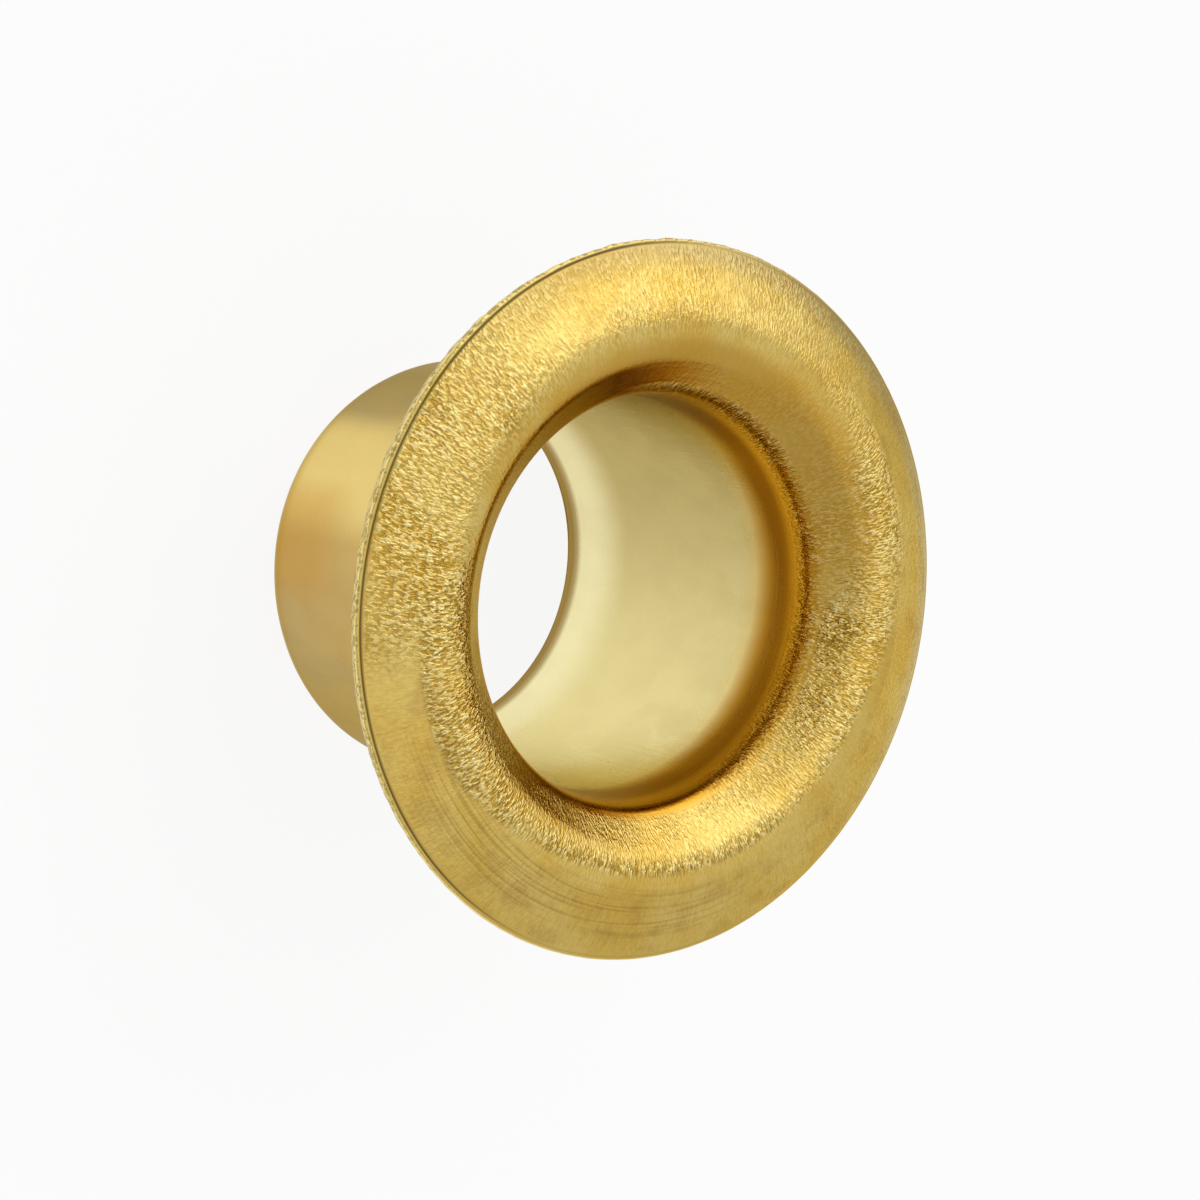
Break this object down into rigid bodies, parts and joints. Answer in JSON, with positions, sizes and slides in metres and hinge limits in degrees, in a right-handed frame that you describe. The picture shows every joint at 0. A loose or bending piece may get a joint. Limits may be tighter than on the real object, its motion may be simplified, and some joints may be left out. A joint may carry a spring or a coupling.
{
  "type": "eyelet",
  "caption": "Drawn brass eyelet: a thin-walled barrel with a rounded, pierced end and a flared round flange, set through a hole in sheet material to line it.",
  "frame": {"origin": "centre of the barrel's pierced end, on the plane that the eyelet stands on", "axes": "+Z along the eyelet's axis, out of the flange; X and Y are any two radii, because the part is round"},
  "size_m": [0.01, 0.01, 0.0061],
  "materials": {
    "brass": "drawn and tumbled yellow brass, satin on the barrel, with an orange-peel grain on the flange's crest and flank"
  },
  "bodies": {
    "root": {"eyelet": "brass"}
  },
  "joints": []
}
